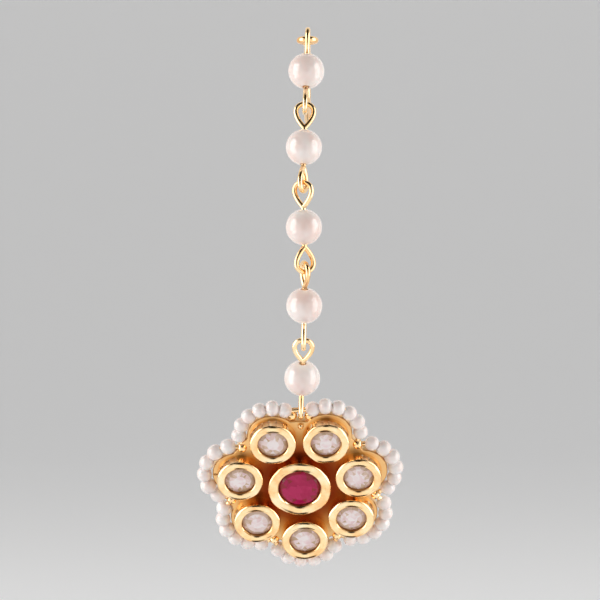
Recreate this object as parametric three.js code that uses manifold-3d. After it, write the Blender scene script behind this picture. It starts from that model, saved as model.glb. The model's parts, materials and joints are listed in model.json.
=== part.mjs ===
// A maang tikka: a forehead pendant of seven stone-set petals round a ruby, edged with seed
// pearls, on a chain of pearls that are linked by gold eye pins and end in a hair hook.
//
// Millimetres, +Z up. The front faces -Y and +X is at a viewer's right hand. The form is
// the worn one: the pendant leans forward at its top and the chain runs up over the hair.
// The origin is inside the bend of the hair hook, where a lock of hair holds it.

import * as THREE from 'three';
import { mergeVertices } from 'three/addons/utils/BufferGeometryUtils.js';
import Module from 'manifold-3d';

// Chain of pearls.
const pearlDiameter = 5.4;
const pearlBore = 1.3;
const pinWire = 0.76;
const eyeRadius = 1.33; // from the middle of an eye to the middle of its wire
const eyeFromPearl = 5.2; // from the middle of a pearl to the middle of each eye
const chainPitch = 12; // from one linked joint to the next

// One row for each pearl, from the pendant up. Lean tips its top back and sway tips it to
// +X. An eye with a turn of 0 faces forwards, and linked eyes are a quarter turn apart.
const chainUnits = [
  { lean: -31, sway: 2, lowerTurn: 90, upperTurn: 0 },
  { lean: -19, sway: 1, lowerTurn: 90, upperTurn: 110 },
  { lean: -3, sway: -1.5, lowerTurn: 20, upperTurn: -20 },
  { lean: 12, sway: 1.5, lowerTurn: 70, upperTurn: 0 },
  { lean: 22, sway: 2, lowerTurn: 90, upperTurn: 90 },
];

// Hair hook. Each row is a stretch of its wire: its length and how far it turns down.
const hookWire = 1.0;
const hookEyeRadius = 1.15;
const hookLean = 96;
const hookBendRadius = 3.6;
const hookStretches = [
  { length: 19, turn: 14, steps: 5 },
  { length: Math.PI * hookBendRadius, turn: 180, steps: 12 },
  { length: 9, turn: -8, steps: 3 },
  { length: 2.6, turn: -50, steps: 3 },
];

// Pendant. Its own frame has X to the right, Y to the bail and Z out of its face.
const pendantLean = 34;
const pendantSwing = -0.8;
const plateThickness = 1.6;
const plateRadius = 11.25;
const lobeRadius = 3.68;
const stoneLevel = 3.7; // from the back of the plate to the crown of the bezels
const granuleRadius = 0.45;
const granuleInset = 0.7; // from the plate's edge

// Petals, set out by hand. Each has a direction clockwise from the bail, and lies at one
// distance from the ruby to its stone and another to the middle of its scallop.
const petalRows = [
  { direction: 24.5, stoneRing: 9.25, scallopRing: 9.65 },
  { direction: 76.5, stoneRing: 9.1, scallopRing: 9.7 },
  { direction: 124.5, stoneRing: 9.6, scallopRing: 9.8 },
  { direction: 174.5, stoneRing: 9.65, scallopRing: 9.7 },
  { direction: 224.5, stoneRing: 9.05, scallopRing: 9.3 },
  { direction: 278.5, stoneRing: 9.1, scallopRing: 9.45 },
  { direction: 333, stoneRing: 9.1, scallopRing: 9.3 },
];

// Bezels and their stones. Radii are from a stone's middle, and each drop is measured
// down from the crown.
const petalBezel = { outer: 3.5, lip: 2.3, pocket: 2.75 };
const rubyBezel = { outer: 4.75, lip: 3.08, pocket: 3.55 };
const bezelSinksIn = 0.3;
const crownShoulder = { inset: 0.25, drop: 0.1, wallDrop: 0.45 };
const crownTop = 0.6; // from a bezel's outer wall to the top of its crown
const lipDrop = 0.3;
const lipEndDrop = 0.55;
const pocketDrop = 0.75;
const stoneGap = 0.28;
const stoneFoot = { inset: 0.3, rise: 0.4 };
const girdleDrop = 1.05;
const crownFacetDrop = 0.6;
const tableDrop = 0.35;
const tableShare = 0.6;

// Seed pearls, threaded on the rim wire round each petal.
const rimWire = 0.8;
const rimRadius = 5.05; // from the middle of each scallop to the rim wire
const rimLevel = 1.2;
const seedsPerPetal = 6;
const seedOverlap = 0.03; // the pearls are threaded tight, so their ends run together
const seedDiameter = 2.3;
const seedShoulder = 0.8; // radius of a seed pearl's flattened ends, as a share
const seedBore = 1.3;
const bareAngle = 22; // wire left bare between the last seed pearl and the valley
const bareAngleAtBail = 31;
const bailHeight = 13.15; // from the ruby to the wire that the chain hangs on
const eyeAboveBail = 0.38;

const joinTolerance = 0.004;

const wasm = await Module();
wasm.setup();

// Solids ---------------------------------------------------------------------------------

function toSolid(geometry) {
  const bare = geometry.clone();
  bare.deleteAttribute('normal');
  bare.deleteAttribute('uv');
  const merged = mergeVertices(bare, 1e-4);
  const corners = [];
  for (let i = 0; i < merged.index.count; i += 3) {
    const [a, b, c] = [0, 1, 2].map((k) => merged.index.getX(i + k));
    if (a !== b && b !== c && c !== a) corners.push(a, b, c);
  }
  return new wasm.Manifold(new wasm.Mesh({
    numProp: 3,
    vertProperties: new Float32Array(merged.attributes.position.array),
    triVerts: new Uint32Array(corners),
  }));
}

// The tolerance clears the slivers that joins leave.
function toGeometry(solid) {
  const mesh = solid.simplify(joinTolerance).getMesh();
  const geometry = new THREE.BufferGeometry();
  geometry.setAttribute('position', new THREE.BufferAttribute(mesh.vertProperties, 3));
  geometry.setIndex(new THREE.BufferAttribute(mesh.triVerts, 1));
  geometry.computeVertexNormals();
  return geometry;
}

function join(geometries) {
  return geometries.map(toSolid).reduce((whole, solid) => whole.add(solid));
}

// A profile of [radius, height] pairs, turned round the Z axis.
function turned(profile, segments) {
  const points = profile.map(([radius, height]) => new THREE.Vector2(radius, height));
  return new THREE.LatheGeometry(points, segments).rotateX(Math.PI / 2);
}

function gold() {
  return new THREE.MeshStandardMaterial({ color: '#e2b05c', roughness: 0.25, metalness: 1 });
}

function named(name, geometry, material) {
  const mesh = new THREE.Mesh(geometry, material);
  mesh.name = name;
  return mesh;
}

// Chain of pearls on eye pins ------------------------------------------------------------

// Way up a unit of the chain that leans back and sways to +X.
function upward({ lean, sway }) {
  return new THREE.Vector3(0, 0, 1).applyEuler(unitTurn({ lean, sway }));
}

function unitTurn({ lean, sway }) {
  return new THREE.Euler(THREE.MathUtils.degToRad(-lean), THREE.MathUtils.degToRad(sway), 0);
}

function pearlGeometry() {
  const radius = pearlDiameter / 2;
  const bore = pearlBore / 2;
  const mouth = Math.asin(bore / radius);
  const steps = 9;
  const profile = [];
  for (let i = 0; i <= steps; i += 1) {
    const angle = mouth + ((Math.PI - 2 * mouth) * i) / steps;
    profile.push([radius * Math.sin(angle), -radius * Math.cos(angle)]);
  }
  profile.push(profile[0]);
  return toGeometry(toSolid(turned(profile, 14)));
}

function eye(height, turn) {
  return new THREE.TorusGeometry(eyeRadius, pinWire / 2, 6, 16)
    .rotateX(Math.PI / 2)
    .rotateZ(THREE.MathUtils.degToRad(turn))
    .translate(0, 0, height);
}

function eyePinGeometry({ lowerTurn, upperTurn }) {
  const stem = 2 * (eyeFromPearl - eyeRadius);
  return toGeometry(join([
    new THREE.CylinderGeometry(pinWire / 2, pinWire / 2, stem, 8).rotateX(Math.PI / 2),
    eye(-eyeFromPearl, lowerTurn),
    eye(eyeFromPearl, upperTurn),
  ]));
}

function chainUnit(unit, number, middle) {
  const group = new THREE.Group();
  group.position.copy(middle);
  group.rotation.copy(unitTurn(unit));
  group.add(
    named(`pearl_${number}`, pearlGeometry(),
      new THREE.MeshStandardMaterial({ color: '#f4e4df', roughness: 0.25, metalness: 0 })),
    named(`eye_pin_${number}`, eyePinGeometry(unit), gold()),
  );
  return group;
}

// Hair hook ------------------------------------------------------------------------------

// Middle line of the hook's wire in its own plane: X back along the hook, Z up. It starts
// at the eye's far side. The hold point is inside the bend.
function hookRoute() {
  let heading = 0;
  let hold;
  const place = new THREE.Vector3(2 * hookEyeRadius, 0, 0);
  const points = [place.clone()];
  for (const { length, turn, steps } of hookStretches) {
    if (turn === 180) {
      const ahead = new THREE.Vector3(Math.cos(heading), 0, Math.sin(heading));
      const inward = new THREE.Vector3(ahead.z, 0, -ahead.x);
      hold = place.clone()
        .addScaledVector(inward, hookBendRadius)
        .addScaledVector(ahead, hookBendRadius - hookWire / 2);
    }
    for (let i = 0; i < steps; i += 1) {
      const change = THREE.MathUtils.degToRad(-turn / steps);
      const middle = heading + change / 2;
      const step = length / steps;
      place.add(new THREE.Vector3(Math.cos(middle), 0, Math.sin(middle)).multiplyScalar(step));
      points.push(place.clone());
      heading += change;
    }
  }
  return { points, hold };
}

function hookGeometry(points) {
  const section = new THREE.Shape().absarc(0, 0, hookWire / 2, 0, 2 * Math.PI);
  const wire = new THREE.ExtrudeGeometry(section, {
    curveSegments: 3,
    steps: 32,
    extrudePath: new THREE.CatmullRomCurve3(points),
  });
  const hookEye = new THREE.TorusGeometry(hookEyeRadius, hookWire / 2, 6, 16)
    .translate(hookEyeRadius, 0, 0);
  return toGeometry(join([hookEye, wire]));
}

// Pendant --------------------------------------------------------------------------------

const petals = petalRows.map(({ direction, stoneRing, scallopRing }) => {
  const angle = THREE.MathUtils.degToRad(direction);
  const outward = new THREE.Vector3(Math.sin(angle), Math.cos(angle), 0);
  return {
    direction: angle,
    scallopRing,
    stone: outward.clone().multiplyScalar(stoneRing),
    middle: outward.clone().multiplyScalar(scallopRing),
  };
});

petals.forEach((petal, index) => {
  const count = petals.length;
  petal.before = valley(petal, petals[(index + count - 1) % count]);
  petal.after = valley(petal, petals[(index + 1) % count]);
  petal.bareBefore = index === 0 ? bareAngleAtBail : bareAngle;
  petal.bareAfter = index === count - 1 ? bareAngleAtBail : bareAngle;
});

// Angle, at a scallop's middle, from straight out to where its rim meets a neighbour's.
function valley(petal, neighbour) {
  const across = new THREE.Vector3().subVectors(neighbour.middle, petal.middle);
  const toMeeting = Math.acos(across.length() / 2 / rimRadius);
  const toNeighbour = petal.middle.angleTo(across);
  return THREE.MathUtils.radToDeg(toNeighbour - toMeeting);
}

// Point on the rim wire at an angle round a petal, clockwise from straight out.
function onRim(petal, degrees) {
  const angle = petal.direction + THREE.MathUtils.degToRad(degrees);
  return new THREE.Vector3(Math.sin(angle), Math.cos(angle), 0)
    .multiplyScalar(rimRadius)
    .add(petal.middle)
    .setZ(rimLevel);
}

function rimPoints(petal) {
  const first = -petal.before + petal.bareBefore;
  const last = petal.after - petal.bareAfter;
  const stretches = seedsPerPetal - 1;
  return Array.from({ length: seedsPerPetal }, (_, i) => (
    onRim(petal, first + ((last - first) * i) / stretches)
  ));
}

// Point where the rim wire dips to the plate between two petals. In the top valley it
// stays out, because the chain hangs on it there.
function dipAfter(petal) {
  return petal === petals[petals.length - 1]
    ? new THREE.Vector3(0, bailHeight, rimLevel)
    : onRim(petal, petal.after);
}

// The rim wire's points through one petal's seed pearls and a seed pearl past each end.
function routeThrough(petal) {
  const index = petals.indexOf(petal);
  const previous = petals[(index + petals.length - 1) % petals.length];
  const next = petals[(index + 1) % petals.length];
  return [
    rimPoints(previous).pop(),
    dipAfter(previous),
    ...rimPoints(petal),
    dipAfter(petal),
    rimPoints(next)[0],
  ];
}

function rimCurve() {
  const points = petals.flatMap((petal) => [...rimPoints(petal), dipAfter(petal)]);
  return new THREE.CatmullRomCurve3(points, true);
}

// Ring that is burnished over a stone's edge: a straight wall, a round crown and a lip.
function bezelGeometry({ outer, lip, pocket }, segments) {
  const base = plateThickness - bezelSinksIn;
  const profile = [
    [pocket, base],
    [outer, base],
    [outer, stoneLevel - crownShoulder.wallDrop],
    [outer - crownShoulder.inset, stoneLevel - crownShoulder.drop],
    [outer - crownTop, stoneLevel],
    [lip, stoneLevel - lipDrop],
    [lip, stoneLevel - lipEndDrop],
    [pocket, stoneLevel - pocketDrop],
  ];
  profile.push(profile[0]);
  return turned(profile, segments);
}

function stoneGeometry({ lip, pocket }, segments) {
  const girdle = pocket - stoneGap;
  const crown = lip - stoneGap;
  const back = plateThickness + stoneGap;
  return toGeometry(toSolid(turned([
    [0, back],
    [girdle - stoneFoot.inset, back],
    [girdle, back + stoneFoot.rise],
    [girdle, stoneLevel - girdleDrop],
    [crown, stoneLevel - crownFacetDrop],
    [tableShare * crown, stoneLevel - tableDrop],
    [0, stoneLevel - tableDrop],
  ], segments)));
}

// How far the plate reaches in a direction: to its round edge, or past it to a lobe.
function plateReach(angle) {
  const reaches = petals.map(({ direction, scallopRing }) => {
    const aside = scallopRing * Math.sin(angle - direction);
    const ahead = scallopRing * Math.cos(angle - direction);
    if (Math.abs(aside) >= lobeRadius || ahead < 0) return plateRadius;
    return ahead + Math.sqrt(lobeRadius ** 2 - aside ** 2);
  });
  return Math.max(plateRadius, ...reaches);
}

function plateGeometry() {
  const corners = 84;
  const outline = Array.from({ length: corners }, (_, i) => {
    const angle = (-2 * Math.PI * i) / corners;
    const reach = plateReach(angle);
    return new THREE.Vector2(reach * Math.sin(angle), reach * Math.cos(angle));
  });
  return new THREE.ExtrudeGeometry(new THREE.Shape(outline), {
    depth: plateThickness,
    bevelEnabled: false,
  });
}

function settingGeometry() {
  const rim = new THREE.TubeGeometry(rimCurve(), 77, rimWire / 2, 6, true);
  const granule = new THREE.SphereGeometry(granuleRadius, 6, 4)
    .translate(0, plateRadius - granuleInset, plateThickness + granuleRadius / 2);
  const bezels = petals.map(({ stone }) => (
    bezelGeometry(petalBezel, 14).translate(stone.x, stone.y, 0)
  ));
  return toGeometry(join([
    plateGeometry(), rim, granule, bezelGeometry(rubyBezel, 20), ...bezels,
  ]));
}

// Barrel-shaped seed pearls of one petal, end to end on the rim wire.
function seedArcGeometry(petal) {
  const centres = rimPoints(petal);
  const half = (centres[0].distanceTo(centres[1]) + seedOverlap) / 2;
  const radius = seedDiameter / 2;
  const barrel = [
    [0, -half],
    [seedShoulder * radius, -half],
    [radius, 0],
    [seedShoulder * radius, half],
    [0, half],
  ];
  const outward = new THREE.Vector3();
  const seeds = centres.map((centre) => {
    outward.subVectors(centre, petal.middle).setZ(0).normalize();
    const along = Math.atan2(-outward.x, outward.y);
    return turned(barrel, 8)
      .rotateZ(Math.PI / 8)
      .rotateY(Math.PI / 2)
      .rotateZ(along)
      .translate(centre.x, centre.y, centre.z);
  });
  const section = new THREE.Shape().absarc(0, 0, seedBore / 2, 0, 2 * Math.PI);
  const bore = new THREE.ExtrudeGeometry(section, {
    curveSegments: 3,
    steps: 22,
    extrudePath: new THREE.CatmullRomCurve3(routeThrough(petal)),
  });
  return toGeometry(join(seeds).subtract(toSolid(bore)));
}

function pendant() {
  const group = new THREE.Group();
  group.rotation.set(
    THREE.MathUtils.degToRad(90 + pendantLean),
    0,
    THREE.MathUtils.degToRad(pendantSwing),
  );
  group.add(
    named('flower_setting', settingGeometry(), gold()),
    named('ruby', stoneGeometry(rubyBezel, 16),
      new THREE.MeshStandardMaterial({ color: '#a91d51', roughness: 0.15, metalness: 0 })),
  );
  petals.forEach((petal, index) => {
    const stone = named(`kundan_${index + 1}`, stoneGeometry(petalBezel, 12),
      new THREE.MeshStandardMaterial({ color: '#e6c5b9', roughness: 0.1, metalness: 0 }));
    stone.position.copy(petal.stone);
    const seeds = named(`pearl_arc_${index + 1}`, seedArcGeometry(petal),
      new THREE.MeshStandardMaterial({ color: '#efdfdb', roughness: 0.3, metalness: 0 }));
    group.add(stone, seeds);
  });
  return group;
}

// Assembly -------------------------------------------------------------------------------

const maangTikka = new THREE.Group();

const flower = pendant();
maangTikka.add(flower);

// The lowest eye hangs round the bail, which lies a little below the middle of the eye.
flower.updateMatrixWorld();
const bail = new THREE.Vector3(0, bailHeight, rimLevel).applyMatrix4(flower.matrixWorld);
const linkReach = chainPitch / 2 - eyeFromPearl;
const joint = bail.addScaledVector(upward(chainUnits[0]), eyeAboveBail - linkReach);

chainUnits.forEach((unit, index) => {
  const up = upward(unit);
  const middle = joint.clone().addScaledVector(up, chainPitch / 2);
  maangTikka.add(chainUnit(unit, index + 1, middle));
  joint.addScaledVector(up, chainPitch);
});

// The hook's eye passes through the middle of the top eye.
const topUnit = chainUnits[chainUnits.length - 1];
const { points: hookPoints, hold } = hookRoute();
const hook = named('hair_hook', hookGeometry(hookPoints), gold());
hook.position.copy(joint).addScaledVector(upward(topUnit), -linkReach);
hook.rotation.set(0, THREE.MathUtils.degToRad(hookLean - 90), Math.PI / 2, 'ZYX');
maangTikka.add(hook);

// Everything moves together, to bring the hold point to the origin.
hook.updateMatrixWorld();
maangTikka.position.copy(hold.applyMatrix4(hook.matrixWorld)).negate();
maangTikka.updateMatrixWorld(true);

export default maangTikka;
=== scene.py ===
# A maang tikka: a forehead pendant of kundan stones round a ruby, edged with seed pearls,
# that hangs from a chain of pearls on gold eye pins and ends in a hook for the hair.
# Sizes are in millimetres and the frame is in metres, so MM turns one into the other.

import json
import math
import random

import bpy
from mathutils import Matrix, Vector, noise


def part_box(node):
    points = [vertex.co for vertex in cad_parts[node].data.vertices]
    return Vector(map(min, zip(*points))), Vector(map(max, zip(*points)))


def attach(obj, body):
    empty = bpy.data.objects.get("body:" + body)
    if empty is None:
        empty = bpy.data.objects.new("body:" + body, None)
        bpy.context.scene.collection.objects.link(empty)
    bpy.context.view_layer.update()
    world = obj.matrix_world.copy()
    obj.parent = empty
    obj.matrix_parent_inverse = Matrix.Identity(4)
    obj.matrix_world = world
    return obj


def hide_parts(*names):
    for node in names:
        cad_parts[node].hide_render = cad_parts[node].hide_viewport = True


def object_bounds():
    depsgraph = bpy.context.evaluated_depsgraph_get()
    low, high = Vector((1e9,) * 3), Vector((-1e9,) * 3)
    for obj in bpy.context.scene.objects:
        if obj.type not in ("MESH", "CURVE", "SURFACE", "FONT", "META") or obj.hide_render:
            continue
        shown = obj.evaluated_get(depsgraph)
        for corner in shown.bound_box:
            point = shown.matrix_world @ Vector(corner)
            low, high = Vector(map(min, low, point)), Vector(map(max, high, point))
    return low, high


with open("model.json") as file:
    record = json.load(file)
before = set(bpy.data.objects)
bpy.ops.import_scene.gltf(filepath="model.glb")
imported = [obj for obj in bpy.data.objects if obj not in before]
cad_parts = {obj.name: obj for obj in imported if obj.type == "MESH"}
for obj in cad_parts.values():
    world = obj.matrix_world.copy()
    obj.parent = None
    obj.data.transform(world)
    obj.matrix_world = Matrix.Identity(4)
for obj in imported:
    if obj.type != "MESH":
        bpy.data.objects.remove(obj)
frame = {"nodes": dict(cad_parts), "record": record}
cad_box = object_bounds()
MM = 0.001


# --- Camera -----------------------------------------------------------------------------
# The jewel is seen straight from the front and level with it, through a long lens.

CAMERA_DISTANCE = 0.9
SHARE_OF_FRAME = 0.9  # how much of the picture's height the jewel takes
SENSOR = 36.0

lowest, highest = cad_box
middle = (lowest + highest) / 2
height_seen = (highest.z - lowest.z) / SHARE_OF_FRAME

bpy.ops.object.camera_add(
    location=(middle.x, middle.y - CAMERA_DISTANCE, middle.z),
    rotation=(math.radians(90), 0, 0),
)
camera = bpy.context.object
camera.data.sensor_width = SENSOR
camera.data.lens = SENSOR * CAMERA_DISTANCE / height_seen
bpy.context.scene.camera = camera
bpy.context.scene.view_settings.view_transform = "Standard"


# --- Floor and backdrop -----------------------------------------------------------------
# A roll of pale paper that lies under the jewel and rises behind it in one sweep.

FLOOR_GAP = 0.016
ROLL_WIDTH = 6.0
ROLL_FRONT = 2.0
ROLL_BACK = 1.7
ROLL_HEIGHT = 2.2
SWEEP = 0.6
SWEEP_SEGMENTS = 24
EDGE_REACH = 0.01  # how near the roll's back edge counts as on it
PAPER = "#d3d4d6"
PAPER_GLOW = 0.42


def linear(code):
    """An sRGB hex colour as the linear RGBA that a shader takes."""
    shares = [int(code[i : i + 2], 16) / 255 for i in (1, 3, 5)]
    return [s / 12.92 if s <= 0.04045 else ((s + 0.055) / 1.055) ** 2.4 for s in shares] + [1.0]


def deselect_all():
    """Leaves nothing selected, so that an operator acts only on what is added next."""
    if bpy.context.object and bpy.context.object.mode != "OBJECT":
        bpy.ops.object.mode_set(mode="OBJECT")
    bpy.ops.object.select_all(action="DESELECT")


def select_where(piece, test):
    """In edit mode, selects the vertices that pass a test, and what lies between them."""
    bpy.ops.object.mode_set(mode="OBJECT")
    mesh = piece.data
    for element in (*mesh.vertices, *mesh.edges, *mesh.polygons):
        element.select = False
    for vertex in mesh.vertices:
        vertex.select = test(vertex.co)
    bpy.ops.object.mode_set(mode="EDIT")
    bpy.ops.mesh.select_mode(type="VERT")


def new_material(name):
    """A material with its shader, and the tree that further nodes go in."""
    material = bpy.data.materials.new(name)
    material.use_nodes = True
    return material, material.node_tree, material.node_tree.nodes["Principled BSDF"]


floor_level = lowest.z - FLOOR_GAP
deselect_all()
bpy.ops.mesh.primitive_plane_add(size=1, location=(0, (ROLL_BACK - ROLL_FRONT) / 2, floor_level))
backdrop = bpy.context.object
backdrop.name = "backdrop"
backdrop.scale = (ROLL_WIDTH, ROLL_BACK + ROLL_FRONT, 1)
bpy.ops.object.transform_apply(location=True, rotation=True, scale=True)
select_where(backdrop, lambda co: co.y > ROLL_BACK - EDGE_REACH)
bpy.ops.mesh.extrude_region_move(TRANSFORM_OT_translate={"value": (0, 0, ROLL_HEIGHT)})
bpy.ops.object.mode_set(mode="OBJECT")
sweep = backdrop.modifiers.new("sweep", "BEVEL")
sweep.width = SWEEP
sweep.segments = SWEEP_SEGMENTS
sweep.limit_method = "ANGLE"
bpy.ops.object.modifier_apply(modifier="sweep")
bpy.ops.object.shade_smooth()

# Matt coated paper: an even pale grey that lifts its own shade a little, with no gloss.
paper, _, paper_shader = new_material("matt backdrop paper")
paper_shader.inputs["Base Color"].default_value = linear(PAPER)
paper_shader.inputs["Roughness"].default_value = 0.9
paper_shader.inputs["Emission Color"].default_value = linear(PAPER)
paper_shader.inputs["Emission Strength"].default_value = PAPER_GLOW
backdrop.data.materials.append(paper)
backdrop.visible_glossy = False


# --- Lights -----------------------------------------------------------------------------
# The jewel hangs in a bright tent with a softbox either side of the camera and a white sheet
# below in front. A dark cloth overhead, another low behind it and the gap for the lens break
# the white that the gold mirrors.

SOFTBOXES = (
    {"name": "left_softbox", "azimuth": -74, "rise": 4, "size": (0.45, 0.9), "watts": 3.9},
    {"name": "right_softbox", "azimuth": 76, "rise": 4, "size": (0.45, 0.9), "watts": 3.2},
)
SOFTBOX_DISTANCE = 0.62
TENT = "#e2ded8"
TENT_SEEN = "#d0d1d2"
TENT_BRIGHTNESS = 1.18
# Each patch of the tent lies round a direction, and fades in from one angle off it to
# another. A squeezed patch is that many times narrower than it is tall.
TENT_PATCHES = (
    {"toward": (0, -0.42, -0.91), "fades": (64, 36), "squeeze": 1, "tone": "#ffffff"},
    {"toward": (0, -0.5, 0.87), "fades": (58, 40), "squeeze": 1, "tone": "#2c2718"},
    {"toward": (0, -1, 0), "fades": (24, 12), "squeeze": 1.5, "tone": "#2e2924"},
    {"toward": (0, 0.37, -0.93), "fades": (38, 24), "squeeze": 4.5, "tone": "#2a1e12"},
)


def add_node(tree, kind, settings=None, inputs=None):
    """A shader node with its settings; an input is a value, or the socket that feeds it."""
    made = tree.nodes.new(kind)
    for name, value in (settings or {}).items():
        setattr(made, name, value)
    for name, value in (inputs or {}).items():
        if isinstance(value, bpy.types.NodeSocket):
            tree.links.new(value, made.inputs[name])
        else:
            made.inputs[name].default_value = value
    return made


for softbox in SOFTBOXES:
    azimuth, rise = math.radians(softbox["azimuth"]), math.radians(softbox["rise"])
    away = Vector((
        math.sin(azimuth) * math.cos(rise),
        -math.cos(azimuth) * math.cos(rise),
        math.sin(rise),
    ))
    deselect_all()
    bpy.ops.object.light_add(type="AREA", location=middle + away * SOFTBOX_DISTANCE)
    lamp = bpy.context.object
    lamp.name = softbox["name"]
    lamp.rotation_euler = away.to_track_quat("Z", "Y").to_euler()
    lamp.data.shape = "RECTANGLE"
    lamp.data.size, lamp.data.size_y = softbox["size"]
    lamp.data.energy = softbox["watts"]
    lamp.visible_camera = False

tent = bpy.data.worlds.new("light tent")
tent.use_nodes = True
bpy.context.scene.world = tent
tent_tree = tent.node_tree
tent_way = add_node(tent_tree, "ShaderNodeTexCoord")
tent_tone = linear(TENT)
for patch in TENT_PATCHES:
    squeezed = add_node(tent_tree, "ShaderNodeVectorMath", {"operation": "MULTIPLY"})
    tent_tree.links.new(tent_way.outputs["Generated"], squeezed.inputs[0])
    squeezed.inputs[1].default_value = (patch["squeeze"], 1, 1)
    way = add_node(tent_tree, "ShaderNodeVectorMath", {"operation": "NORMALIZE"})
    tent_tree.links.new(squeezed.outputs["Vector"], way.inputs[0])
    nearness = add_node(tent_tree, "ShaderNodeVectorMath", {"operation": "DOT_PRODUCT"})
    tent_tree.links.new(way.outputs["Vector"], nearness.inputs[0])
    nearness.inputs[1].default_value = Vector(patch["toward"]).normalized()
    cover = add_node(tent_tree, "ShaderNodeMapRange", {"interpolation_type": "SMOOTHSTEP"}, {
        "Value": nearness.outputs["Value"],
        "From Min": math.cos(math.radians(patch["fades"][0])),
        "From Max": math.cos(math.radians(patch["fades"][1])),
    })
    patched = add_node(tent_tree, "ShaderNodeMix", {"data_type": "RGBA"}, {
        "Factor": cover.outputs["Result"],
        "A": tent_tone,
        "B": linear(patch["tone"]),
    })
    tent_tone = patched.outputs["Result"]
seen = add_node(tent_tree, "ShaderNodeLightPath")
tone_seen = add_node(tent_tree, "ShaderNodeMix", {"data_type": "RGBA"}, {
    "Factor": seen.outputs["Is Camera Ray"],
    "A": tent_tone,
    "B": linear(TENT_SEEN),
})
tent_light = tent_tree.nodes["Background"]
tent_tree.links.new(tone_seen.outputs["Result"], tent_light.inputs["Color"])
tent_light.inputs["Strength"].default_value = TENT_BRIGHTNESS


# --- Chain pearls -----------------------------------------------------------------------
# Round faux pearls, as large as the frame's: glass or shell beads under a coat of nacre,
# drilled through, with a slightly rolled edge where the wire enters.

PEARLS = 5
PEARL_BORE = 0.95  # diameter
PEARL_MOUTH = 0.12  # width of the rolled edge
NACRE = "#fff2ee"
NACRE_BLUSH = "#fbddd4"
NACRE_SHEEN = "#f4f0f2"
NACRE_DEPTH_MM = 0.8  # how far light spreads under its surface
NACRE_GRAIN_MM = 0.5
NACRE_GRAIN_DEPTH_MM = 0.02
BLUSH_MM = 3.5  # how broad the clouds of pink in the nacre are

# One row for each unit of the chain, from the pendant up, as it stands in the frame.
CHAIN_UNITS = (
    {"lean": -31, "sway": 2, "lower_turn": 90, "upper_turn": 0},
    {"lean": -19, "sway": 1, "lower_turn": 90, "upper_turn": 110},
    {"lean": -3, "sway": -1.5, "lower_turn": 20, "upper_turn": -20},
    {"lean": 12, "sway": 1.5, "lower_turn": 70, "upper_turn": 0},
    {"lean": 22, "sway": 2, "lower_turn": 90, "upper_turn": 90},
)


def set_ramp(ramp, stops):
    """Colours of a ramp, as (position, hex colour) pairs."""
    elements = ramp.color_ramp.elements
    while len(elements) < len(stops):
        elements.new(0.5)
    for element, (position, colour) in zip(elements, stops):
        element.position = position
        element.color = linear(colour)


def node_middle(name):
    """Middle of a frame node's box."""
    low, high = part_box(name)
    return (Vector(low) + Vector(high)) / 2


def unit_place(number):
    """Where a unit of the chain is: its own Z runs up its pin."""
    unit = CHAIN_UNITS[number - 1]
    lean = Matrix.Rotation(math.radians(-unit["lean"]), 4, "X")
    sway = Matrix.Rotation(math.radians(unit["sway"]), 4, "Y")
    return Matrix.Translation(node_middle(f"pearl_{number}")) @ lean @ sway


def fit_in_frame(piece, slot_name, *nodes):
    """Hands a finished piece to the frame: it rides and stands for nodes. slot_name is not used.
    """
    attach(piece, "root")
    if nodes:
        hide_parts(*nodes)


# Nacre is thin layers of pearl lacquer. Light goes a little way in, so its shadows are soft
# and rosy, its gloss lies clear on top, and broad faint clouds of pink drift over it.
def nacre_material(name, base, blush, roughness, cloud_mm):
    """Pearl nacre whose body wavers between two colours."""
    material, tree, shader = new_material(name)
    place = add_node(tree, "ShaderNodeTexCoord")
    clouds = add_node(tree, "ShaderNodeTexNoise", inputs={
        "Vector": place.outputs["Object"],
        "Scale": 1 / (cloud_mm * MM),
        "Detail": 2.0,
    })
    tint = add_node(tree, "ShaderNodeValToRGB", inputs={"Fac": clouds.outputs["Fac"]})
    set_ramp(tint, [(0.35, base), (0.7, blush)])
    tree.links.new(tint.outputs["Color"], shader.inputs["Base Color"])
    grain = add_node(tree, "ShaderNodeTexNoise", inputs={
        "Vector": place.outputs["Object"],
        "Scale": 1 / (NACRE_GRAIN_MM * MM),
        "Detail": 3.0,
    })
    skin = add_node(tree, "ShaderNodeBump", inputs={
        "Strength": 0.05,
        "Distance": NACRE_GRAIN_DEPTH_MM * MM,
        "Height": grain.outputs["Fac"],
    })
    tree.links.new(skin.outputs["Normal"], shader.inputs["Normal"])
    shader.inputs["Roughness"].default_value = roughness
    shader.inputs["Subsurface Weight"].default_value = 0.25
    shader.inputs["Subsurface Radius"].default_value = (1.0, 0.7, 0.6)
    shader.inputs["Subsurface Scale"].default_value = NACRE_DEPTH_MM * MM
    shader.inputs["Coat Weight"].default_value = 1.0
    shader.inputs["Coat Roughness"].default_value = 0.08
    shader.inputs["Sheen Weight"].default_value = 0.35
    shader.inputs["Sheen Tint"].default_value = linear(NACRE_SHEEN)
    return material


nacre = nacre_material(
    "faux pearl nacre", NACRE, NACRE_BLUSH, roughness=0.2, cloud_mm=BLUSH_MM
)

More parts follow.
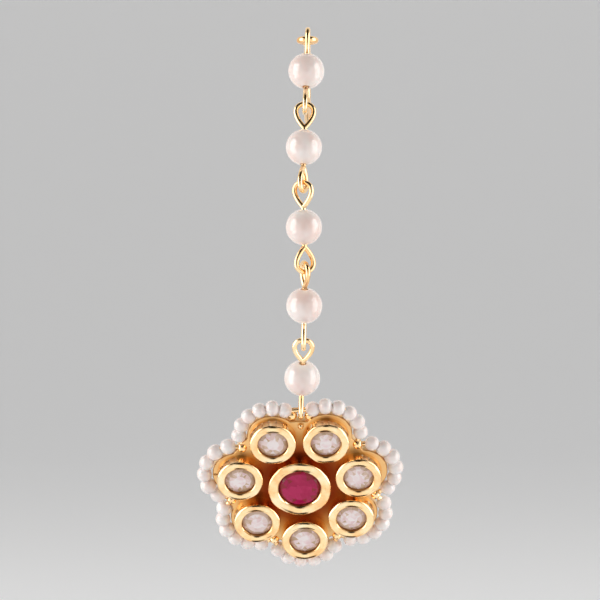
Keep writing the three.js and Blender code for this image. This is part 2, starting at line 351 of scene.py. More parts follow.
low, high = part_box("pearl_3")
pearl_radius = (high[1] - low[1]) / 2
deselect_all()
bpy.ops.mesh.primitive_uv_sphere_add(segments=64, ring_count=48, radius=pearl_radius)
bead = bpy.context.object
bore_radius = PEARL_BORE / 2 * MM
select_where(bead, lambda co: math.hypot(co.x, co.y) < bore_radius)
bpy.ops.mesh.delete(type="VERT")
bpy.ops.mesh.select_all(action="SELECT")
bpy.ops.mesh.region_to_loop()
bpy.ops.mesh.bridge_edge_loops()
bpy.ops.mesh.select_all(action="SELECT")
bpy.ops.mesh.normals_make_consistent(inside=False)
bpy.ops.object.mode_set(mode="OBJECT")
rolled = bead.modifiers.new("rolled mouth", "BEVEL")
rolled.width = PEARL_MOUTH * MM
rolled.segments = 3
rolled.limit_method = "ANGLE"
rolled.angle_limit = math.radians(50)
bpy.ops.object.modifier_apply(modifier="rolled mouth")
bpy.ops.object.shade_smooth()
bead.data.materials.append(nacre)

for number in range(1, PEARLS + 1):
    pearl = bead.copy()
    pearl.data = bead.data.copy()
    pearl.name = f"chain_pearl_{number}"
    bpy.context.collection.objects.link(pearl)
    pearl.data.transform(unit_place(number) @ Matrix.Rotation(number, 4, "Z"))
    fit_in_frame(pearl, "pearl", f"pearl_{number}")
bpy.data.objects.remove(bead)


# --- Eye pins ---------------------------------------------------------------------------
# Soft gold-plated wire. Each pin is pushed through a pearl and both its ends are turned with
# round pliers into drop-shaped eyes, whose cut ends close against the pin's own stem.

PIN_WIRE = 0.76
EYE_TIP = 2.95  # from the pearl's middle to where an eye leaves the stem
EYE_END = 6.64  # from the pearl's middle to the far side of an eye, at the wire's middle
EYE_SPREAD = 1.72
EYE_POINTS = 18
EYE_OPENING = 0.035  # share of an eye left open at its cut end
GOLD_TONES = ("#f2be84", "#f9d6a2", "#fee7c2")  # from warm to pale
GOLD_ZONES = (0.3, 0.5, 0.75)
GOLD_DENT_MM = 0.06  # depth of the dents of handwork


# Gold plate over brass, polished by hand. It mirrors what is round it in warm and pale
# zones, with a polish that is uneven, and shallow dents that break up the highlights.
def gold_material(name, roughness, wear_mm, dent_mm, dent, tones=GOLD_TONES):
    """Gold whose tone and polish waver over one distance, and its dents over another."""
    material, tree, shader = new_material(name)
    place = add_node(tree, "ShaderNodeTexCoord")
    zones = add_node(tree, "ShaderNodeTexNoise", inputs={
        "Vector": place.outputs["Object"],
        "Scale": 1 / (wear_mm * MM),
        "Detail": 3.0,
    })
    tint = add_node(tree, "ShaderNodeValToRGB", inputs={"Fac": zones.outputs["Fac"]})
    set_ramp(tint, list(zip(GOLD_ZONES, tones)))
    tree.links.new(tint.outputs["Color"], shader.inputs["Base Color"])
    polish = add_node(tree, "ShaderNodeMapRange", inputs={
        "Value": zones.outputs["Fac"],
        "To Min": roughness * 0.7,
        "To Max": roughness * 1.6,
    })
    tree.links.new(polish.outputs["Result"], shader.inputs["Roughness"])
    dents = add_node(tree, "ShaderNodeTexNoise", inputs={
        "Vector": place.outputs["Object"],
        "Scale": 1 / (dent_mm * MM),
        "Detail": 1.5,
    })
    surface = add_node(tree, "ShaderNodeBump", inputs={
        "Strength": dent,
        "Distance": GOLD_DENT_MM * MM,
        "Height": dents.outputs["Fac"],
    })
    tree.links.new(surface.outputs["Normal"], shader.inputs["Normal"])
    shader.inputs["Metallic"].default_value = 1.0
    return material


def wire_through(name, points, diameter, closed=False):
    """A round wire along a smooth curve through points in metres, as a closed mesh."""
    deselect_all()
    if closed:
        bpy.ops.curve.primitive_bezier_circle_add()
    else:
        bpy.ops.curve.primitive_bezier_curve_add()
    wire = bpy.context.object
    spline = wire.data.splines[0]
    spline.bezier_points.add(len(points) - len(spline.bezier_points))
    for knot, point in zip(spline.bezier_points, points):
        knot.co = point
        knot.handle_left_type = knot.handle_right_type = "AUTO"
    wire.data.resolution_u = 5
    wire.data.bevel_depth = diameter / 2
    wire.data.bevel_resolution = 5
    wire.data.use_fill_caps = True
    bpy.ops.object.convert(target="MESH")
    wire.name = name
    bpy.ops.object.mode_set(mode="EDIT")
    bpy.ops.mesh.select_all(action="SELECT")
    bpy.ops.mesh.remove_doubles(threshold=1e-6)
    bpy.ops.mesh.normals_make_consistent(inside=False)
    bpy.ops.object.mode_set(mode="OBJECT")
    bpy.ops.object.shade_smooth_by_angle(angle=math.radians(50))
    return wire


def eye_points(turn):
    """A drop-shaped eye, from its cut end round to the stem, above the pearl."""
    facing = Matrix.Rotation(math.radians(turn), 4, "Z")
    half_height = (EYE_END - EYE_TIP) / 2
    points = []
    for i in range(EYE_POINTS + 1):
        share = EYE_OPENING + (1 - EYE_OPENING) * i / EYE_POINTS
        angle = 2 * math.pi * share
        across = EYE_SPREAD * math.sin(angle) * math.sin(angle / 2)
        along = EYE_TIP + half_height * (1 - math.cos(angle))
        points.append(facing @ Vector((across, 0, along)) * MM)
    return points


# Drawn wire takes the smoothest plating, so its highlights are long and bright.
plated_wire = gold_material(
    "gold-plated wire", roughness=0.16, wear_mm=4.0, dent_mm=1.2, dent=0.15
)

for number, unit in enumerate(CHAIN_UNITS, 1):
    upper = eye_points(unit["upper_turn"])
    flip = Matrix.Rotation(math.pi, 4, "X")
    lower = [flip @ p for p in eye_points(-unit["lower_turn"])]
    pin = wire_through(f"turned_eye_pin_{number}", upper + lower[::-1], PIN_WIRE * MM)
    pin.data.transform(unit_place(number))
    pin.data.materials.append(plated_wire)
    fit_in_frame(pin, "gold_plate", f"eye_pin_{number}")


# --- Hair hook --------------------------------------------------------------------------
# One piece of thicker gold wire: an eye for the chain, a shank that follows the head and a
# bend that grips the hair, with its tip curled away from the scalp.

HOOK_WIRE = 1.0
HOOK_EYE_RADIUS = 1.15
HOOK_LEAN = 96
HOOK_BEND_RADIUS = 3.6
HOOK_STRETCHES = (
    {"length": 19, "turn": 14, "steps": 5},
    {"length": math.pi * HOOK_BEND_RADIUS, "turn": 180, "steps": 12},
    {"length": 9, "turn": -8, "steps": 3},
    {"length": 2.6, "turn": -50, "steps": 3},
)
HOOK_EYE_STEPS = 14

heading = 0.0
spot = Vector((2 * HOOK_EYE_RADIUS, 0, 0))
shank = [spot.copy()]
for stretch in HOOK_STRETCHES:
    if stretch["turn"] == 180:
        ahead = Vector((math.cos(heading), 0, math.sin(heading)))
        inward = Vector((ahead.z, 0, -ahead.x))
        hold = spot + inward * HOOK_BEND_RADIUS + ahead * (HOOK_BEND_RADIUS - HOOK_WIRE / 2)
    for _ in range(stretch["steps"]):
        change = math.radians(-stretch["turn"] / stretch["steps"])
        stride = stretch["length"] / stretch["steps"]
        halfway = heading + change / 2
        spot = spot + Vector((math.cos(halfway), 0, math.sin(halfway))) * stride
        shank.append(spot.copy())
        heading += change

ring = []
for i in range(1, HOOK_EYE_STEPS):
    angle = 2 * math.pi * i / HOOK_EYE_STEPS
    ring.append(HOOK_EYE_RADIUS * Vector((1 + math.cos(angle), math.sin(angle), 0)))
hook_turn = (
    Matrix.Rotation(math.radians(90), 4, "Z")
    @ Matrix.Rotation(math.radians(HOOK_LEAN - 90), 4, "Y")
)
hook_place = Matrix.Translation(-(hook_turn @ hold) * MM) @ hook_turn
hook = wire_through("hair_hook_wire", [p * MM for p in ring + shank], HOOK_WIRE * MM)
hook.data.transform(hook_place)
hook.data.materials.append(plated_wire)
fit_in_frame(hook, "gold_plate", "hair_hook")


# --- Plate of the pendant ---------------------------------------------------------------
# Flat gold plate with a lobe behind each petal. Its face is closed in between the bezels,
# where painted shade makes it a deep red brown, painted brighter out towards the pearls.

PENDANT_LEAN = 34
PENDANT_SWING = -0.8
PETALS = 7
PLATE_THICKNESS = 1.6
PLATE_RADIUS = 11.25
LOBE_RADIUS = 3.8
SCALLOP_RINGS = (9.65, 9.7, 9.8, 9.7, 9.3, 9.45, 9.3)  # from the ruby to each scallop
OUTLINE_CORNERS = 420
PLATE_EDGE = 0.22  # width of its rounded edge
LACING_HOLE = {"petal": 6, "beside": 3.78, "diameter": 0.5}
# Tones of the painted shade on the face, each at a distance from the ruby.
PAINTED_RECESS_SHADE_TONES = ((5.4, "#7a3013"), (6.8, "#924d22"), (8.6, "#bf8649"), (10.4, "#e6b87c"))


def only(*objects):
    """Selects these objects alone, with the first one active."""
    deselect_all()
    for one in objects:
        one.select_set(True)
    bpy.context.view_layer.objects.active = objects[0]


back_mount = next(m for m in frame["record"]["mounts"] if m["name"] == "pendant_back")
pendant_turn = (
    Matrix.Rotation(math.radians(90 + PENDANT_LEAN), 4, "X")
    @ Matrix.Rotation(math.radians(PENDANT_SWING), 4, "Z")
)
pendant_place = Matrix.Translation(back_mount["pos_m"]) @ pendant_turn
to_pendant = pendant_place.inverted()


def place_in_pendant(name):
    """Middle of a stone's node in the pendant's own frame, in millimetres: X, Y."""
    spots = [to_pendant @ v.co / MM for v in frame["nodes"][name].data.vertices]
    low = Vector(min(p[axis] for p in spots) for axis in range(3))
    high = Vector(max(p[axis] for p in spots) for axis in range(3))
    return ((low + high) / 2).to_2d()


stone_spots = [place_in_pendant(f"kundan_{number}") for number in range(1, PETALS + 1)]
scallops = [spot.normalized() * ring for spot, ring in zip(stone_spots, SCALLOP_RINGS)]


def plate_reach(way):
    """How far the plate goes in a direction: to its round edge, or past it to a lobe."""
    reaches = [PLATE_RADIUS]
    for scallop in scallops:
        ahead, aside = way.dot(scallop), way.cross(scallop)
        if ahead > 0 and abs(aside) < LOBE_RADIUS:
            reaches.append(ahead + math.sqrt(LOBE_RADIUS**2 - aside**2))
    return max(reaches)


def in_pendant(piece):
    """Takes a piece made in millimetres in the pendant's own frame to its real place."""
    piece.data.transform(pendant_place @ Matrix.Scale(MM, 4))


deselect_all()
bpy.ops.mesh.primitive_circle_add(vertices=OUTLINE_CORNERS, radius=1, fill_type="NGON")
plate = bpy.context.object
plate.name = "pendant_plate"
for vertex in plate.data.vertices:
    way = vertex.co.to_2d()
    vertex.co = (way * plate_reach(way)).to_3d()
bpy.ops.object.mode_set(mode="EDIT")
bpy.ops.mesh.select_all(action="SELECT")
bpy.ops.mesh.extrude_region_move(TRANSFORM_OT_translate={"value": (0, 0, PLATE_THICKNESS)})
bpy.ops.mesh.select_all(action="SELECT")
bpy.ops.mesh.normals_make_consistent(inside=False)
bpy.ops.object.mode_set(mode="OBJECT")
rounded = plate.modifiers.new("rounded edge", "BEVEL")
rounded.width = PLATE_EDGE
rounded.segments = 4
rounded.limit_method = "ANGLE"
rounded.angle_limit = math.radians(60)
bpy.ops.object.modifier_apply(modifier="rounded edge")

laced_petal = stone_spots[LACING_HOLE["petal"] - 1]
deselect_all()
bpy.ops.mesh.primitive_cylinder_add(
    vertices=20,
    radius=LACING_HOLE["diameter"] / 2,
    depth=3 * PLATE_THICKNESS,
    location=(laced_petal.x - LACING_HOLE["beside"], laced_petal.y, PLATE_THICKNESS / 2),
)
drill = bpy.context.object
only(plate)
drilled = plate.modifiers.new("lacing hole", "BOOLEAN")
drilled.operation = "DIFFERENCE"
drilled.solver = "EXACT"
drilled.object = drill
bpy.ops.object.modifier_apply(modifier="lacing hole")
bpy.data.objects.remove(drill)
bpy.ops.object.shade_smooth_by_angle(angle=math.radians(35))

# Gilding that no tool can polish between the bezels: satin, with painted shade in red brown
# near the ruby. The painted shade takes the place of the plain gold's tint.
gilding = gold_material("gilded plate with painted recess shade", roughness=0.3, wear_mm=3.0, dent_mm=0.9, dent=0.3)
gilt_tree = gilding.node_tree
gilt_shader = gilt_tree.nodes["Principled BSDF"]
gilt_tree.nodes.remove(gilt_shader.inputs["Base Color"].links[0].from_node)
gilt_place = add_node(gilt_tree, "ShaderNodeTexCoord")
centred = add_node(gilt_tree, "ShaderNodeMapping", inputs={
    "Vector": gilt_place.outputs["Object"],
    "Location": to_pendant.to_translation(),
    "Rotation": to_pendant.to_euler(),
})
flattened = add_node(gilt_tree, "ShaderNodeVectorMath", {"operation": "MULTIPLY"})
flattened.inputs[1].default_value = (1, 1, 0)
gilt_tree.links.new(centred.outputs["Vector"], flattened.inputs[0])
from_ruby = add_node(gilt_tree, "ShaderNodeVectorMath", {"operation": "LENGTH"})
gilt_tree.links.new(flattened.outputs["Vector"], from_ruby.inputs[0])
# Painted shade by distance from the ruby: dark red brown in the recesses between the bezels, paler
# gold out by the pearls.
painted_shade_share = add_node(gilt_tree, "ShaderNodeMapRange", inputs={
    "Value": from_ruby.outputs["Value"],
    "From Min": 0.0,
    "From Max": PLATE_RADIUS * MM,
})
painted_shade_tone = add_node(gilt_tree, "ShaderNodeValToRGB", inputs={
    "Fac": painted_shade_share.outputs["Result"],
})
set_ramp(painted_shade_tone, [(radius / PLATE_RADIUS, tone) for radius, tone in PAINTED_RECESS_SHADE_TONES])
gilt_tree.links.new(painted_shade_tone.outputs["Color"], gilt_shader.inputs["Base Color"])
plate.data.materials.append(gilding)
# The back is rubbed smooth but not bright, and wears softly where it lies on the skin.
plate.data.materials.append(
    gold_material("satin gold back", roughness=0.34, wear_mm=5.0, dent_mm=1.6, dent=0.2)
)
for face in plate.data.polygons:
    face.material_index = 0 if face.center.z > PLATE_THICKNESS - PLATE_EDGE else 1
in_pendant(plate)
fit_in_frame(plate, "gold_plate", "flower_setting")


# --- Rim wire and its solder ------------------------------------------------------------
# One gold wire runs through all the seed pearls, round every petal. It dips to the plate in
# each valley, where a bead of solder holds it, and bridges the top valley as the bail.

RIM_WIRE = 0.8
RIM_RADIUS = 5.05
RIM_LEVEL = 1.2
SEEDS_PER_PETAL = 6
BARE_ANGLE = 22
BARE_ANGLE_AT_BAIL = 31
BAIL_HEIGHT = 13.15
SOLDER_RADIUS = 0.78
SOLDER_LEVEL = 1.35
SOLDER_REACH = 0.975  # share of the way out to the valley
BAIL_SOLDER = (1.3, 12.0, 1.0)  # either side of the bail: across, up and level
GRANULE = {"radius": 0.45, "up": 10.55, "level": 1.85}


def turn_of(way):
    """Angle of a direction clockwise from the bail, in degrees."""
    return math.degrees(math.atan2(way.x, way.y))


def valley_by(scallop, neighbour):
    """Where two neighbours' rims meet, on their outer side."""
    half = (neighbour - scallop) / 2
    outward = (scallop + neighbour).normalized()
    return scallop + half + outward * math.sqrt(RIM_RADIUS**2 - half.length_squared)


def on_rim(scallop, degrees):
    """Point on the rim wire at an angle round a scallop, clockwise from straight out."""
    angle = math.radians(turn_of(scallop) + degrees)
    return scallop + RIM_RADIUS * Vector((math.sin(angle), math.cos(angle)))


def seed_spots(index):
    """Where the seed pearls of a petal sit, in order clockwise."""
    scallop = scallops[index]
    ends = (
        valley_by(scallop, scallops[index - 1]),
        valley_by(scallop, scallops[(index + 1) % PETALS]),
    )
    bare = [BARE_ANGLE, BARE_ANGLE]
    if index == 0:
        bare[0] = BARE_ANGLE_AT_BAIL
    if index == PETALS - 1:
        bare[1] = BARE_ANGLE_AT_BAIL
    before, after = (
        math.degrees((end - scallop).angle(scallop)) - skipped
        for end, skipped in zip(ends, bare)
    )
    step = (before + after) / (SEEDS_PER_PETAL - 1)
    return [on_rim(scallop, step * i - before) for i in range(SEEDS_PER_PETAL)]


def at_level(spot, level):
    """A spot in the pendant's plane, lifted to a height above the plate's back."""
    return Vector((spot.x, spot.y, level))


rim_route = []
valleys = []
for index, scallop in enumerate(scallops):
    rim_route += [at_level(spot, RIM_LEVEL) for spot in seed_spots(index)]
    if index == PETALS - 1:
        rim_route.append(Vector((0, BAIL_HEIGHT, RIM_LEVEL)))
    else:
        valleys.append(valley_by(scallop, scallops[index + 1]))
        rim_route.append(at_level(valleys[-1], RIM_LEVEL))
rim = wire_through("rim_wire", rim_route, RIM_WIRE, closed=True)
rim.data.materials.append(plated_wire)

deselect_all()
bpy.ops.mesh.primitive_uv_sphere_add(segments=24, ring_count=16, radius=GRANULE["radius"])
granule = bpy.context.object
granule.name = "bail_granule"
granule.data.transform(Matrix.Translation((0, GRANULE["up"], GRANULE["level"])))
bpy.ops.object.shade_smooth()
granule.data.materials.append(plated_wire)

solder_spots = [at_level(valley * SOLDER_REACH, SOLDER_LEVEL) for valley in valleys]
solder_spots += [Vector((side * BAIL_SOLDER[0], *BAIL_SOLDER[1:])) for side in (-1, 1)]
solder_beads = []
for spot in solder_spots:
    deselect_all()
    bpy.ops.mesh.primitive_uv_sphere_add(segments=24, ring_count=16, radius=SOLDER_RADIUS)
    solder = bpy.context.object
    solder.data.transform(Matrix.Translation(spot))
    bpy.ops.object.shade_smooth()
    solder.data.materials.append(plated_wire)
    solder_beads.append(solder)
only(*solder_beads)
bpy.ops.object.join()
solder = bpy.context.object
solder.name = "valley_solder"

for piece in (rim, granule, solder):
    in_pendant(piece)
    fit_in_frame(piece, "gold_plate")


# --- Bezels -----------------------------------------------------------------------------
# Strips of soft gold foil, packed round each stone and burnished down over its edge with a
# hand tool. That leaves a plump rounded crown and a wavering edge. The inner groove and the
# foot of the wall are given painted shade.

STONE_LEVEL = 3.7
BEZEL_BASE = 1.3
PETAL_BEZEL = {"wall": 3.52, "crown_middle": 2.86, "crown": 0.66, "lip": 2.24}
RUBY_BEZEL = {"wall": 4.78, "crown_middle": 3.98, "crown": 0.8, "lip": 3.08}
CROWN_RISE = 0.42
CROWN_SWEEP = 158
CROWN_STEPS = 12
FOOT_FLARE = 0.04
WALL_DROP = 0.9  # from where the crown springs to where the wall starts to flare
# Inner side of the lip: how far out from the lip, and how far under the crown's spring.
LIP_STEPS = ((0.03, 0.0), (0.0, 0.12), (0.02, 0.4), (0.4, 0.6))
SPIN_STEPS = 96
HAND_WAVER = 0.07
WAVER_PER_MM = 0.55
WAVER_APART = Vector((7.3, 3.1, 0))  # between bezels, so that no two waver alike
WORKED_DEPTH = 1.2  # how far down from the crown the tool reaches
GROOVE_WIDTH = 0.1
SHADED_DEPTH = 2.0  # how far down the wall the painted shade reaches
# Painted shade for the groove and the foot of the wall, from dark to light.
GROOVE_SHADE_TONES = ("#9a6a38", "#b88650", "#d8ab70")


def bezel_profile(bezel):
    """Outline of a bezel's section, as (radius, height) pairs, outer foot to inner foot."""
    wall, crown = bezel["wall"], bezel["crown"]
    centre, lip = bezel["crown_middle"], bezel["lip"]
    spring = STONE_LEVEL - CROWN_RISE
    foot = wall + FOOT_FLARE
    outline = [(foot, BEZEL_BASE), (foot, PLATE_THICKNESS), (wall, spring - WALL_DROP)]
    for i in range(CROWN_STEPS + 1):
        angle = math.radians(CROWN_SWEEP * i / CROWN_STEPS)
        rise = CROWN_RISE * math.sin(angle)
        outline.append((centre + crown * math.cos(angle), spring + rise))
    outline += [(lip + out, spring - under) for out, under in LIP_STEPS]
    outline.append((lip + LIP_STEPS[-1][0], BEZEL_BASE))
    return outline


def spun_bezel(name, bezel, spot, seed):
    """Spins a bezel's section into a ring at a spot in the pendant's frame."""
    profile = bezel_profile(bezel)
    deselect_all()
    bpy.ops.mesh.primitive_circle_add(vertices=len(profile), radius=1)
    ring = bpy.context.object
    ring.name = name
    for vertex, (radius, height) in zip(ring.data.vertices, profile):
        vertex.co = (radius, 0, height)
    bpy.ops.object.mode_set(mode="EDIT")
    bpy.ops.mesh.select_all(action="SELECT")
    bpy.ops.mesh.spin(steps=SPIN_STEPS, angle=2 * math.pi, center=(0, 0, 0), axis=(0, 0, 1))
    bpy.ops.mesh.select_all(action="SELECT")
    bpy.ops.mesh.remove_doubles(threshold=1e-4)
    bpy.ops.mesh.normals_make_consistent(inside=False)
    bpy.ops.object.mode_set(mode="OBJECT")
    for vertex in ring.data.vertices:
        waver = noise.noise(vertex.co * WAVER_PER_MM + WAVER_APART * seed) * HAND_WAVER
        if vertex.co.z > STONE_LEVEL - WORKED_DEPTH:
            vertex.co += Vector((vertex.co.x, vertex.co.y, 0)).normalized() * waver
            vertex.co.z += waver
    ring.data.materials.append(burnished)
    ring.data.materials.append(groove_shade_gold)
    # Faces in the groove and low on the wall take the painted shade.
    groove = bezel["lip"] + GROOVE_WIDTH
    for face in ring.data.polygons:
        in_groove = math.hypot(face.center.x, face.center.y) < groove
        in_shade = face.center.z < STONE_LEVEL - SHADED_DEPTH
        face.material_index = 1 if in_groove or in_shade else 0
    ring.data.transform(Matrix.Translation((spot[0], spot[1], 0)))
    bpy.ops.object.shade_smooth_by_angle(angle=math.radians(48))
    in_pendant(ring)
    fit_in_frame(ring, "gold_plate")


# Pure gold foil under a steel burnisher: the brightest mirror on the jewel, but rippled.
burnished = gold_material(
    "burnished gold foil", roughness=0.13, wear_mm=2.2, dent_mm=1.0, dent=0.3
)
# The groove by the stone and the foot of the wall stay unpolished and dull; their brown is
# painted shade.
groove_shade_gold = gold_material(
    "gold with painted shade in the groove",
    roughness=0.32,
    wear_mm=2.0,
    dent_mm=0.5,
    dent=0.3,
    tones=GROOVE_SHADE_TONES,
)

spun_bezel("ruby_bezel", RUBY_BEZEL, (0, 0), 0)
for number, spot in enumerate(stone_spots, 1):
    spun_bezel(f"petal_bezel_{number}", PETAL_BEZEL, spot, number)


# --- Kundan stones ----------------------------------------------------------------------
# Thin, low glass stones over bright foil with a pink cast. The outer facets look into the
# shade of the bezel and go tan. The inner ones and the table catch the foil's full light.

KUNDAN_TIERS = (  # radius, level and turn of each ring of facet corners
    (2.34, 2.5, 0),
    (2.34, 2.98, 0),
    (1.66, 3.3, 1),
    (0.92, 3.44, 2),
)
KUNDAN_CORNERS = 14
KUNDAN_TURN = 0.9  # from one stone to the next, in radians, so that no two sit alike
FACET_SOFTNESS = 0.05
FACET_START = 0.1  # facets are counted from this angle, in radians, where none has its middle
SHADE_REACH = 0.25  # how far in from halfway between two rings a facet is still shaded
LIGHT_REACH = 0.35  # and how far in from halfway it is still in half light
FOIL_CRINKLE = 0.75
FOIL_CRINKLE_DEPTH_MM = 0.05
FOIL_PATCHINESS = 0.4
# Foil seen through each tier of facets, as the tones it wavers between.
FOIL_TIERS = (
    ("foil in the bezel's shade", ("#c09c76", "#d3b294", "#e6cab6")),
    ("foil in half light", ("#e2c0b6", "#f0d2cb", "#f9e4e1")),
    ("foil in full light", ("#e6c2c6", "#f7dddf", "#fff4f4")),
)
FOIL_STEPS = (0.3, 0.55, 0.8)
TIER_MIX = ((0, 0, 0, 1), (1, 1, 2, 2, 0), (2,))  # materials that the facets draw from


def facet_place(facet):
    """A facet's distance from the stone's middle and its way round.

    Facets are sorted by it before tones are drawn for them, because the order in which the
    mesh keeps them can change from run to run.
    """
    x, y, _ = facet.center
    return round(math.hypot(x, y), 2), (math.atan2(y, x) + FACET_START) % (2 * math.pi)


def cut_stone(name, tiers, corners, spot, turn, seed):
    """A low faceted stone, built up tier by tier from its girdle, in the pendant's frame."""
    deselect_all()
    bpy.ops.mesh.primitive_circle_add(vertices=corners, radius=tiers[0][0], fill_type="NGON")
    stone = bpy.context.object
    stone.name = name
    stone.data.transform(Matrix.Translation((0, 0, tiers[0][1])))
    bpy.ops.object.mode_set(mode="EDIT")
    bpy.ops.mesh.select_all(action="SELECT")
    half_step = math.pi / corners
    for (below, low_level, low_turn), (radius, level, high_turn) in zip(tiers, tiers[1:]):
        bpy.ops.mesh.extrude_region_move(
            TRANSFORM_OT_translate={"value": (0, 0, level - low_level)}
        )
        bpy.ops.transform.resize(
            value=(radius / below, radius / below, 1), center_override=(0, 0, 0)
        )
        bpy.ops.transform.rotate(
            value=half_step * (high_turn - low_turn),
            orient_axis="Z",
            center_override=(0, 0, 0),
        )
    bpy.ops.mesh.select_all(action="SELECT")
    bpy.ops.mesh.quads_convert_to_tris(quad_method="SHORTEST_DIAGONAL", ngon_method="CLIP")
    bpy.ops.mesh.normals_make_consistent(inside=False)
    bpy.ops.object.mode_set(mode="OBJECT")
    random.seed(seed)
    inner_reach = (tiers[2][0] + tiers[3][0]) / 2
    outer_reach = (tiers[1][0] + tiers[2][0]) / 2
    for facet in sorted(stone.data.polygons, key=facet_place):
        reach = math.hypot(facet.center.x, facet.center.y)
        tier = 2
        if reach > outer_reach - SHADE_REACH:
            tier = 0
        elif reach > inner_reach - LIGHT_REACH:
            tier = 1
        facet.material_index = random.choice(TIER_MIX[tier])
    softened = stone.modifiers.new("softened facets", "BEVEL")
    softened.width = FACET_SOFTNESS
    softened.segments = 2
    softened.limit_method = "ANGLE"
    softened.angle_limit = math.radians(6)
    bpy.ops.object.modifier_apply(modifier="softened facets")
    bpy.ops.object.shade_flat()
    stone.data.transform(Matrix.Translation((spot[0], spot[1], 0)) @ Matrix.Rotation(turn, 4, "Z"))
    in_pendant(stone)
    return stone


# Flat-cut glass over foil. The eye sees patches of crinkled foil that each catch the light
# in their own way, through a clear surface with a sharp gloss.
def foiled_glass(name, tones, crinkle_mm, roughness, gloss):
    """Glass over foil that wavers between tones, in patches of one size."""
    material, tree, shader = new_material(name)
    place = add_node(tree, "ShaderNodeTexCoord")
    sway = add_node(tree, "ShaderNodeTexNoise", inputs={
        "Vector": place.outputs["Object"],
        "Scale": 1 / (crinkle_mm * 2 * MM),
        "Detail": 2.0,
    })
    patches = add_node(tree, "ShaderNodeTexVoronoi", inputs={
        "Vector": place.outputs["Object"],
        "Scale": 1 / (crinkle_mm * MM),
    })
    patch_tone = add_node(tree, "ShaderNodeSeparateColor", inputs={
        "Color": patches.outputs["Color"],
    })
    both = add_node(tree, "ShaderNodeMath", {"operation": "MULTIPLY_ADD"})
    tree.links.new(patch_tone.outputs["Red"], both.inputs[0])
    both.inputs[1].default_value = FOIL_PATCHINESS
    tree.links.new(sway.outputs["Fac"], both.inputs[2])
    tint = add_node(tree, "ShaderNodeValToRGB", inputs={"Fac": both.outputs["Value"]})
    set_ramp(tint, list(zip(FOIL_STEPS, tones)))
    tree.links.new(tint.outputs["Color"], shader.inputs["Base Color"])
    crinkle = add_node(tree, "ShaderNodeBump", inputs={
        "Strength": 0.25,
        "Distance": FOIL_CRINKLE_DEPTH_MM * MM,
        "Height": patches.outputs["Distance"],
    })
    tree.links.new(crinkle.outputs["Normal"], shader.inputs["Normal"])
    shader.inputs["Roughness"].default_value = roughness
    shader.inputs["Coat Weight"].default_value = gloss
    shader.inputs["Coat Roughness"].default_value = 0.03
    shader.inputs["Specular IOR Level"].default_value = 0.3 * gloss
    return material


# Silver foil with a pink cast under clear glass: pale rose where it is lit, tan in shade.
kundan_foils = [
    foiled_glass(name, tones, FOIL_CRINKLE, roughness=0.25, gloss=0.8)
    for name, tones in FOIL_TIERS
]
for number, spot in enumerate(stone_spots, 1):
    turn = number * KUNDAN_TURN
    name = f"kundan_stone_{number}"
    kundan = cut_stone(name, KUNDAN_TIERS, KUNDAN_CORNERS, spot, turn, number)
    for foil in kundan_foils:
        kundan.data.materials.append(foil)
    fit_in_frame(kundan, "kundan_glass", f"kundan_{number}")


# --- Ruby -------------------------------------------------------------------------------
# A round red glass stone with a wide flat table. It is crimson over its foil, and browner
# round the edge where the facets look into the gold.

RUBY_TIERS = (
    (3.12, 2.6, 0),
    (3.12, 3.08, 0),
    (2.72, 3.36, 1),
    (1.9, 3.5, 2),
)
RUBY_CORNERS = 16
RUBY_TURN = 0.2
RUBY_CRINKLE = 1.1
RUBY_FOIL_TIERS = (
    ("ruby glass at the edge", ("#8a1a26", "#952330", "#a02a3a")),
    ("ruby glass on the crown", ("#a01044", "#aa154c", "#b41d55")),
    ("ruby glass on the table", ("#a60f4a", "#b0134f", "#bd205c")),
)

ruby = cut_stone("ruby_stone", RUBY_TIERS, RUBY_CORNERS, (0, 0), RUBY_TURN, 0)
# Crimson glass is deep enough to hide most of its foil, so it looks almost even.
for name, tones in RUBY_FOIL_TIERS:
    ruby.data.materials.append(foiled_glass(name, tones, RUBY_CRINKLE, roughness=0.2, gloss=0.35))
fit_in_frame(ruby, "ruby_glass", "ruby")


# --- Seed pearls ------------------------------------------------------------------------
# Small button-shaped pearls, drilled and threaded on the rim wire, six round each petal.
# No two are quite alike in size, and each has settled at its own slight tilt.

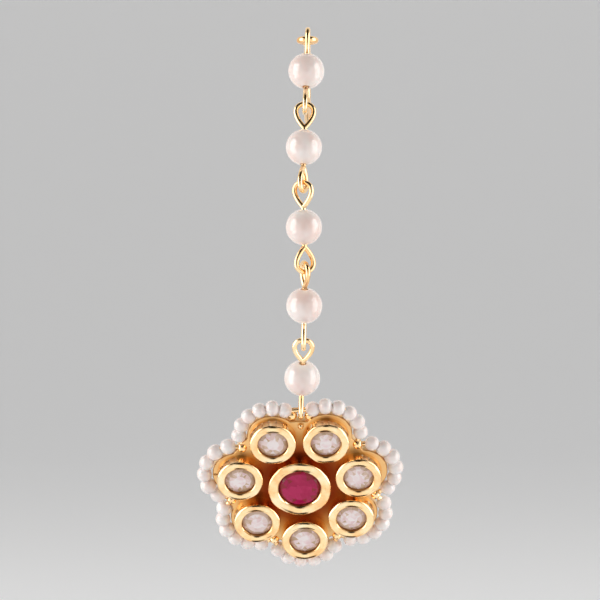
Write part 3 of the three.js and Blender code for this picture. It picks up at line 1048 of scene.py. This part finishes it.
SEED_DIAMETER = 2.36
SEED_OVERLAP = 0.1  # how far neighbours' rubbed ends run into each other
SEED_FULLNESS = 0.72  # below one, a seed pearl is squarer than a ball
SEED_SIZE_SPREAD = 0.05
SEED_TILT_SPREAD = 7
SEED_DRAW = 11  # picks one set of sizes and tilts
SEED_NACRE = "#fff7f5"
SEED_BLUSH = "#fbe8e3"
SEED_BLUSH_MM = 1.6

# Smaller pearls have thinner nacre, so they are whiter and their gloss is a little softer.
seed_nacre = nacre_material(
    "seed pearl nacre", SEED_NACRE, SEED_BLUSH, roughness=0.24, cloud_mm=SEED_BLUSH_MM
)

deselect_all()
bpy.ops.mesh.primitive_uv_sphere_add(segments=24, ring_count=16, radius=1)
seed = bpy.context.object
for vertex in seed.data.vertices:
    round_share = math.hypot(vertex.co.x, vertex.co.y)
    swell = round_share ** (SEED_FULLNESS - 1) if round_share > 0.01 else 1
    vertex.co = (vertex.co.x * swell, vertex.co.y * swell, vertex.co.z)
bpy.ops.object.shade_smooth()
seed.data.materials.append(seed_nacre)

random.seed(SEED_DRAW)
for index, scallop in enumerate(scallops):
    spots = seed_spots(index)
    length = (spots[1] - spots[0]).length + SEED_OVERLAP
    threaded = []
    for spot in spots:
        outward = (spot - scallop).normalized()
        along = Vector((outward.y, -outward.x, 0))
        size = 1 + random.uniform(-SEED_SIZE_SPREAD, SEED_SIZE_SPREAD)
        tilt = math.radians(random.uniform(-SEED_TILT_SPREAD, SEED_TILT_SPREAD))
        pearl = seed.copy()
        pearl.data = seed.data.copy()
        bpy.context.collection.objects.link(pearl)
        girth = SEED_DIAMETER / 2 * size
        pearl.data.transform(
            Matrix.Translation(at_level(spot, RIM_LEVEL))
            @ along.to_track_quat("Z", "Y").to_matrix().to_4x4()
            @ Matrix.Rotation(tilt, 4, "X")
            @ Matrix.Diagonal((girth, girth, length / 2, 1))
        )
        threaded.append(pearl)
    only(*threaded)
    bpy.ops.object.join()
    arc = bpy.context.object
    arc.name = f"seed_pearls_{index + 1}"
    in_pendant(arc)
    fit_in_frame(arc, "seed_pearl", f"pearl_arc_{index + 1}")
bpy.data.objects.remove(seed)
